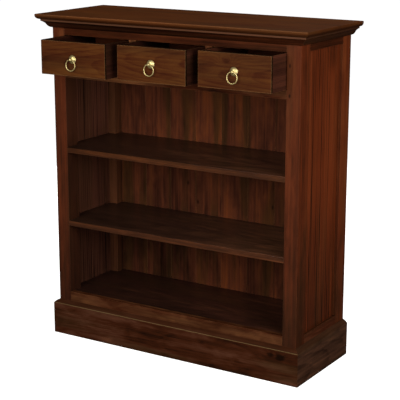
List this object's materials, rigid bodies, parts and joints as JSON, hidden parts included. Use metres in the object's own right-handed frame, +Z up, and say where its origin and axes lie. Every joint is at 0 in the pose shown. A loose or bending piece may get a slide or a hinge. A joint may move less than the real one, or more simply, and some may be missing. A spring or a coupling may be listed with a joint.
{
  "type": "bookcase with top drawers",
  "caption": "Low wooden bookcase: open shelves between posts with boarded back and sides, a row of drawers with brass ring pulls under a moulded top, and a moulded plinth.",
  "frame": {"origin": "on the floor, at the centre of the footprint with the drawers standing open as they do at rest (bottom centre of the bounding box)", "axes": "+X to the right of someone facing the front, -Y out of the front towards them, +Z up"},
  "size_m": [1.09, 0.5134, 1.195],
  "materials": {
    "top_wood": "dark reddish-brown stained mahogany, satin lacquer, soft broad grain",
    "cornice_wood": "dark reddish-brown stained mahogany, satin lacquer",
    "frame_wood": "dark reddish-brown stained mahogany, satin lacquer",
    "panel_wood": "dark reddish-brown stained mahogany, satin lacquer, redder",
    "back_wood": "dark reddish-brown stained mahogany, satin lacquer, boards of mixed tone",
    "shelf_wood": "dark reddish-brown stained mahogany, satin lacquer, darker",
    "plinth_wood": "dark reddish-brown stained mahogany, satin lacquer, small knots",
    "drawer_front_wood": "dark reddish-brown stained mahogany, satin lacquer, grain across",
    "drawer_box_wood": "stained wood, dull lacquer",
    "inner_wood": "stained wood, unpolished",
    "brass": "polished brass",
    "screw_steel": "dull steel"
  },
  "bodies": {
    "carcass": {"back_boards": "back_wood", "back_screws": "screw_steel", "bottom_rail": "frame_wood", "bottom_shelf": "shelf_wood", "cornice_front": "cornice_wood", "cornice_left": "cornice_wood", "cornice_right": "cornice_wood", "drawer_divider_left": "frame_wood", "drawer_divider_right": "frame_wood", "drawer_kickers": "inner_wood", "drawer_rail": "frame_wood", "drawer_runners": "inner_wood", "drawer_stops": "inner_wood", "front_top_rail": "frame_wood", "lower_shelf": "shelf_wood", "plinth_blocks": "inner_wood", "plinth_front": "plinth_wood", "plinth_left": "plinth_wood", "plinth_right": "plinth_wood", "post_front_left": "frame_wood", "post_front_right": "frame_wood", "post_rear_left": "frame_wood", "post_rear_right": "frame_wood", "rear_bottom_rail": "frame_wood", "rear_runner_rail": "inner_wood", "rear_top_rail": "frame_wood", "shelf_cleats": "inner_wood", "side_bottom_rail_left": "frame_wood", "side_bottom_rail_right": "frame_wood", "side_panel_left": "panel_wood", "side_panel_right": "panel_wood", "side_top_rail_left": "frame_wood", "side_top_rail_right": "frame_wood", "top_board": "top_wood", "top_screws": "screw_steel", "upper_shelf": "shelf_wood"},
    "drawer_left": {"drawer_left_back": "drawer_box_wood", "drawer_left_bottom": "drawer_box_wood", "drawer_left_front": "drawer_front_wood", "drawer_left_side_left": "drawer_box_wood", "drawer_left_side_right": "drawer_box_wood", "pull_rosette_left": "brass", "pull_screw_left": "screw_steel"},
    "drawer_middle": {"drawer_middle_back": "drawer_box_wood", "drawer_middle_bottom": "drawer_box_wood", "drawer_middle_front": "drawer_front_wood", "drawer_middle_side_left": "drawer_box_wood", "drawer_middle_side_right": "drawer_box_wood", "pull_rosette_middle": "brass", "pull_screw_middle": "screw_steel"},
    "drawer_right": {"drawer_right_back": "drawer_box_wood", "drawer_right_bottom": "drawer_box_wood", "drawer_right_front": "drawer_front_wood", "drawer_right_side_left": "drawer_box_wood", "drawer_right_side_right": "drawer_box_wood", "pull_rosette_right": "brass", "pull_screw_right": "screw_steel"},
    "ring_left": {"pull_ring_left": "brass"},
    "ring_middle": {"pull_ring_middle": "brass"},
    "ring_right": {"pull_ring_right": "brass"}
  },
  "joints": [
    {"name": "slide_left", "type": "slide", "parent": "carcass", "child": "drawer_left", "axis": [0, -1, 0], "range_m": [-0.136, 0.104]},
    {"name": "slide_middle", "type": "slide", "parent": "carcass", "child": "drawer_middle", "axis": [0, -1, 0], "range_m": [-0.114, 0.126]},
    {"name": "slide_right", "type": "slide", "parent": "carcass", "child": "drawer_right", "axis": [0, -1, 0], "range_m": [-0.094, 0.146]},
    {"name": "turn_ring_left", "type": "hinge", "parent": "drawer_left", "child": "ring_left", "pos_m": [-0.308, -0.25175, 1.059], "axis": [-1, 0, 0], "range_deg": [-14, 194]},
    {"name": "turn_ring_middle", "type": "hinge", "parent": "drawer_middle", "child": "ring_middle", "pos_m": [0, -0.22975, 1.063], "axis": [-1, 0, 0], "range_deg": [-14, 194]},
    {"name": "turn_ring_right", "type": "hinge", "parent": "drawer_right", "child": "ring_right", "pos_m": [0.308, -0.20975, 1.06], "axis": [-1, 0, 0], "range_deg": [-14, 194]}
  ]
}
